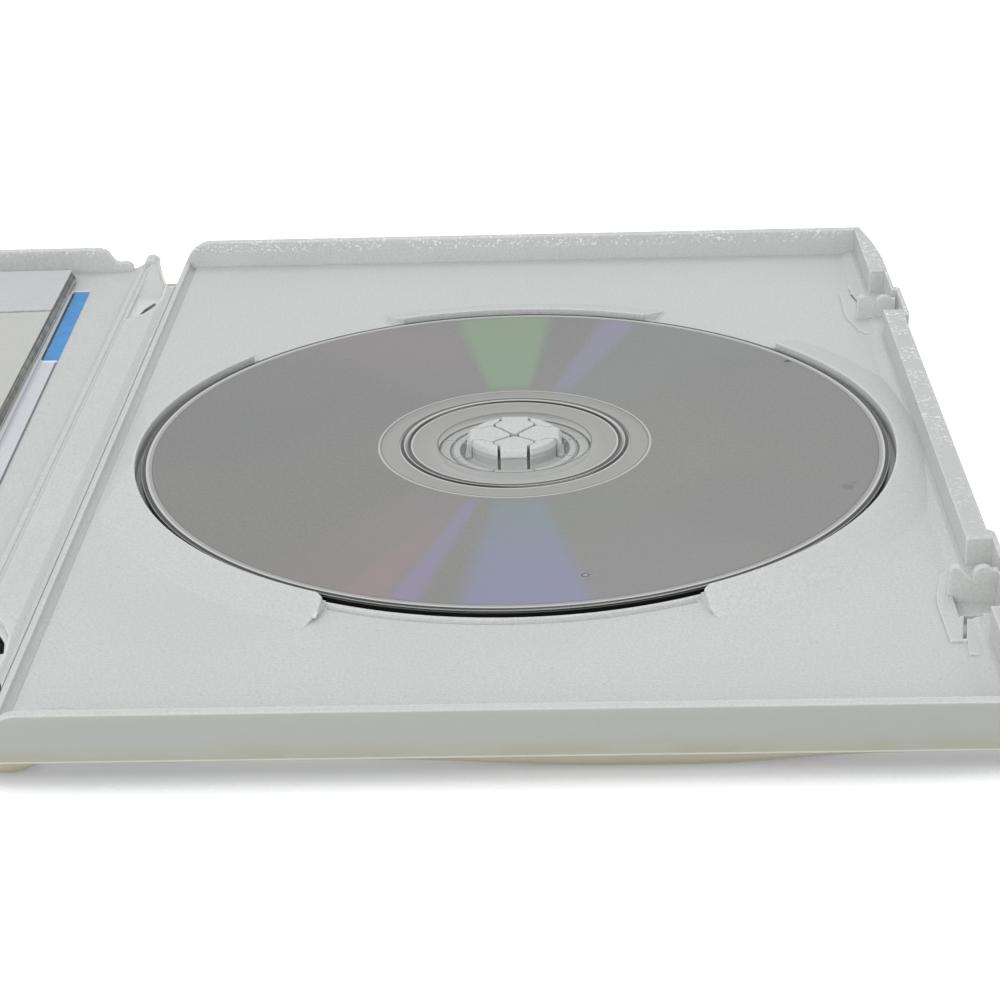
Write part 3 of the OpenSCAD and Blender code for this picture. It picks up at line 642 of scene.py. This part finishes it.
def card_material():
    m = Mat("manual_card")
    v = m.coords()
    x, y, z = m.xyz(v)
    fib = m.noise(v, 1.1, 4, 0.62)
    cloud = m.noise(v, 0.05, 2, 0.5)
    # print as plain fields: a cool head, a thin dark rule, a warm body with a pale panel
    rule = m.math("ADD", y, m.mul(m.math("ADD", x, 17.0), -0.055))
    col = m.mix(m.remap(rule, 65.2, 65.5), rgb(188, 189, 185), rgb(190, 193, 194))
    wob = m.mul(m.math("SUBTRACT", m.noise(v, 0.9, 2), 0.5), 0.8)
    d = m.math("ABSOLUTE", m.math("ADD", m.math("SUBTRACT", rule, 65.3), wob))
    col = m.mix(m.mul(m.remap(d, 0.62, 0.3), 0.9), col, rgb(96, 98, 97))
    panel = m.mul(m.band(x, -112.0, -34.0, 0.2), m.band(y, -58.0, 40.0, 0.2))
    col = m.mix(panel, col, rgb(178, 184, 188))
    foot = m.mul(m.band(x, -112.0, -34.0, 0.2), m.band(y, -72.0, -64.0, 0.2))
    col = m.mix(foot, col, rgb(150, 154, 158))
    col = m.mix(m.remap(cloud, 0.3, 0.7, 0.0, 0.25), col, rgb(192, 193, 189))
    col = m.mix(m.remap(fib, 0.35, 0.65, 0.0, 0.25), col, rgb(184, 185, 182))
    # painted shadow: the back cover's outside is painted near-black, for the shade in the gap under the manual's
    # edge
    col = m.mix(m.remap(z, MAN_Z + 0.2, MAN_Z + 0.16), col, rgb(28, 28, 29))
    m.link(col, m.b.inputs["Base Color"])
    m.link(m.bump(fib, 0.2, 0.00004), m.b.inputs["Normal"])
    m.link(m.remap(fib, 0.3, 0.7, 0.34, 0.5), m.b.inputs["Roughness"])
    return m.m


def pages_material():
    m = Mat("manual_pages")
    v = m.coords()
    x, y, z = m.xyz(v)
    leaf = m.noise(m.vec(m.mul(x, 0.05), m.mul(y, 0.02), m.mul(z, 14.0)), 1.0, 2, 0.5)
    ink = m.noise(v, 0.35, 3, 0.6)
    col = m.mix(m.remap(leaf, 0.42, 0.58), rgb(128, 129, 128), rgb(178, 179, 177))
    col = m.mix(m.remap(ink, 0.45, 0.62, 0.0, 0.35), col, rgb(70, 70, 70))
    m.link(col, m.b.inputs["Base Color"])
    m.set(Roughness=0.7)
    return m.m


def leaf_rows(x0, x1, y0, y1, z, lift, seed):
    nx, ny = 16, 24
    rows = []
    for i in range(nx + 1):
        u = i / nx
        row = []
        for j in range(ny + 1):
            t = j / ny
            w = 0.03 * noise.noise(Vector((u * 3 + seed, t * 4, seed * 1.7)))
            row.append(place(x0 + (x1 - x0) * u, y0 + (y1 - y0) * t, z + w + lift * smooth((u - 0.55) / 0.45)))
        rows.append(row)
    return rows


CARD, PAGES = card_material(), pages_material()
x0, x1 = MAN_X1 - MAN_W, MAN_X1
y0, y1 = -MAN_L / 2 - 0.3, MAN_L / 2 - 0.3
# one card folded round the pages: back leaf, rounded fold, front leaf
rows = []
low, high = MAN_Z + 0.32, MAN_Z + MAN_T - 0.02
prof = [(x1 + 0.95, low), (x1, low)] + [(x1 - MAN_W * k / 14, low) for k in range(1, 14)]
prof += [(x0 + 0.9, low)]
cz, rad = (low + high) / 2, (high - low) / 2
prof += [(x0 + 0.85 - 0.85 * math.cos(a), cz - rad * math.sin(a)) for a in
         [math.radians(90 - 18 * k) for k in range(1, 10)]]
prof = [(x, z) for x, z in prof]
prof += [(x0 + 0.9, cz + rad)] + [(x0 + MAN_W * k / 14, cz + rad) for k in range(1, 15)]
for k, (x, z) in enumerate(prof):
    row = []
    for j in range(25):
        t = j / 24
        top = z > cz
        w = 0.035 * noise.noise(Vector((x * 0.03, t * 4, 3.3 if top else 8.1))) if top else 0.0
        row.append(place(x + (0.15 if top and k == len(prof) - 1 else 0), y0 + (y1 - y0) * t, z + w))
    rows.append(row)
vs, fs = thick_sheet(rows[::-1], 0.2)
card = new_object("manual_card_cover", vs, fs, [CARD])
sharp(card, 50)
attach(card, "cover_half")
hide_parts("manual_cover")

# the pages: eight leaves whose fore-edges step back a little from the middle out
vs, fs = [], []
for k in range(8):
    z = low + 0.02 + (high - low - 0.26) * (k + 1) / 8
    creep = 1.28 - 0.1 * k
    a, b = thick_sheet(leaf_rows(x0 + 0.75, x1 - 0.45 + creep, y0 + 0.15, y1 - 0.15, z, 0.0, 0.4), 0.1)
    o = len(vs)
    vs += a
    fs += [tuple(i + o for i in f) for f in b]
pages = new_object("manual_inner_pages", vs, fs, [PAGES])
sharp(pages, 50)
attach(pages, "cover_half")
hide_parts("manual_pages")


def wire_material():
    m = Mat("staple_wire")
    v = m.coords()
    g = m.noise(v, 3.0, 3)
    m.link(m.mix(g, rgb(176, 178, 182), rgb(150, 152, 156)), m.b.inputs["Base Color"])
    m.link(m.remap(g, 0.3, 0.7, 0.2, 0.36), m.b.inputs["Roughness"])
    m.set(Metallic=1.0)
    return m.m


assign(N["manual_staples"], wire_material())


def leaflet_material():
    m = Mat("leaflet_print")
    v = m.coords()
    x, y, z = m.xyz(v)
    fib = m.noise(v, 1.2, 4, 0.6)
    # distance in from the long right edge, which leans with the leaflet
    inn = m.math("SUBTRACT", m.math("SUBTRACT", -11.78, m.mul(y, 0.0209)), x)
    head = m.remap(y, 44.6, 44.9)
    blue = m.mix(m.remap(m.noise(v, 0.3, 2), 0.35, 0.65), rgb(0, 128, 202), rgb(14, 138, 208))
    # painted shade: a dark line along the upper leaf's edge in the blue head
    blue = m.mix(m.remap(inn, 2.62, 2.72), blue, rgb(34, 44, 62))
    blue = m.mix(m.remap(inn, 2.95, 3.05), blue, rgb(186, 200, 210))
    blue = m.mix(m.remap(y, 81.55, 81.75), blue, rgb(200, 228, 242))
    # painted shade: a dark strip along the long right edge, and a lilac-grey line along the upper leaf's edge
    pale = m.mix(m.remap(inn, 0.32, 0.22), rgb(206, 206, 212), rgb(96, 94, 104))
    pale = m.mix(m.band(inn, 3.0, 3.2, 0.1), pale, rgb(160, 156, 176))
    col = m.mix(head, pale, blue)
    foot = m.mul(m.band(y, 43.9, 44.6, 0.1), m.remap(inn, 2.8, 2.6))
    col = m.mix(foot, col, rgb(222, 234, 244))
    col = m.mix(m.remap(fib, 0.35, 0.65, 0.0, 0.15), col, rgb(190, 194, 200))
    m.link(col, m.b.inputs["Base Color"])
    m.link(m.remap(fib, 0.3, 0.7, 0.4, 0.55), m.b.inputs["Roughness"])
    return m.m


LEAF = leaflet_material()
vs, fs = [], []
ca, sa = math.cos(math.radians(1.2)), math.sin(math.radians(1.2))
for k, (inset, z) in enumerate(((0.0, 3.66), (2.72, 3.8), (2.9, 3.92))):
    rows = []
    for i in range(19):
        row = []
        for j in range(25):
            X, Y = -105 + (105 - inset) * i / 18, -165 + (165 - (0, 2.0, 2.3)[k]) * j / 24
            w = 0.015 * noise.noise(Vector((i * 0.3, j * 0.3, k)))
            row.append((-13.5 + X * ca - Y * sa, 82.3 + X * sa + Y * ca, z + w))
        rows.append(row)
    a, b = thick_sheet(rows, 0.1)
    o = len(vs)
    vs += a
    fs += [tuple(i + o for i in f) for f in b]
leaf = new_object("folded_leaflet", vs, fs, [LEAF])
sharp(leaf, 50)
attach(leaf, "cover_half")
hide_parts("leaflet")

# ------------------------------------------------------------------ floor
bm = bmesh.new()
bmesh.ops.create_grid(bm, x_segments=2, y_segments=2, size=3.0)
me = bpy.data.meshes.new("floor")
bm.to_mesh(me)
bm.free()
floor = bpy.data.objects.new("floor", me)
bpy.context.scene.collection.objects.link(floor)
fm = Mat("floor_white")
fao = fm.node("AmbientOcclusion")
fao.samples = 8
fao.inputs["Distance"].default_value = 0.05
fx, fy, fz = fm.xyz(fm.coords())
ao = fm.remap(fao.outputs["AO"], 0.55, 0.87, 0.0, 1.0)
# the contact shade is strongest along the near side
shade = fm.math("MAXIMUM", ao, fm.remap(fy, -96.0, -84.0))
fm.link(fm.mix(shade, (0.66, 0.665, 0.675, 1), (0.92, 0.92, 0.92, 1)), fm.b.inputs["Base Color"])
fm.set(Roughness=0.9)
fm.b.inputs["Specular IOR Level"].default_value = 0.0
fm.b.inputs["Emission Color"].default_value = (1, 1, 1, 1)
fm.link(fm.remap(shade, 0.0, 1.0, 0.06, 0.5), fm.b.inputs["Emission Strength"])
assign(floor, fm.m)
floor.visible_diffuse = False

# ------------------------------------------------------------------ camera
yaw, pitch, roll = -0.0341, 0.4259, -0.0314
fwd = Vector((math.sin(yaw) * math.cos(pitch), math.cos(yaw) * math.cos(pitch), -math.sin(pitch)))
right0 = Vector((math.cos(yaw), -math.sin(yaw), 0))
up0 = right0.cross(fwd)
cr, sr = math.cos(roll), math.sin(roll)
right = cr * right0 + sr * up0
up = -sr * right0 + cr * up0
cam = bpy.data.cameras.new("camera")
cam.lens = 86.54
cam.sensor_width = 36.0
cam.clip_start = 0.01
cam.clip_end = 50.0
co = bpy.data.objects.new("camera", cam)
co.matrix_world = Matrix((
    (right.x, up.x, -fwd.x, 79.908 * MM),
    (right.y, up.y, -fwd.y, -357.863 * MM),
    (right.z, up.z, -fwd.z, 157.306 * MM),
    (0, 0, 0, 1)))
bpy.context.scene.collection.objects.link(co)
bpy.context.scene.camera = co

# ------------------------------------------------------------------ light
world = bpy.data.worlds.new("studio")
world.use_nodes = True
wt = world.node_tree
bg = wt.nodes["Background"]
tc = wt.nodes.new("ShaderNodeTexCoord")
sp = wt.nodes.new("ShaderNodeSeparateXYZ")
mr = wt.nodes.new("ShaderNodeMapRange")
mr.interpolation_type = "SMOOTHSTEP"
wt.links.new(tc.outputs["Generated"], sp.inputs[0])
wt.links.new(sp.outputs["Z"], mr.inputs["Value"])
for k, val in zip(("From Min", "From Max", "To Min", "To Max"), (-0.25, 0.25, 0.42, 0.84)):
    mr.inputs[k].default_value = val
wt.links.new(mr.outputs["Result"], bg.inputs["Strength"])
bg.inputs["Color"].default_value = (0.985, 0.993, 1.0, 1)
bpy.context.scene.world = world


def area(name, loc, target, size, power, color=(1, 1, 1)):
    l = bpy.data.lights.new(name, "AREA")
    l.shape = "RECTANGLE"
    l.size, l.size_y = size
    l.energy = power
    l.color = color
    o = bpy.data.objects.new(name, l)
    o.location = loc
    o.rotation_euler = (Vector(target) - Vector(loc)).to_track_quat("-Z", "Y").to_euler()
    bpy.context.scene.collection.objects.link(o)
    return o


area("key", (0.25, 0.5, 0.8), (0.05, 0, 0), (0.45, 0.35), 1.1, (1, 0.99, 0.975))
area("front", (-0.3, -0.85, 0.42), (0.07, 0.05, 0), (0.7, 0.4), 3.6, (0.99, 0.995, 1))

sc = bpy.context.scene
sc.view_settings.view_transform = "Standard"
sc.view_settings.look = "None"
sc.view_settings.exposure = 0.0
sc.view_settings.gamma = 1.0
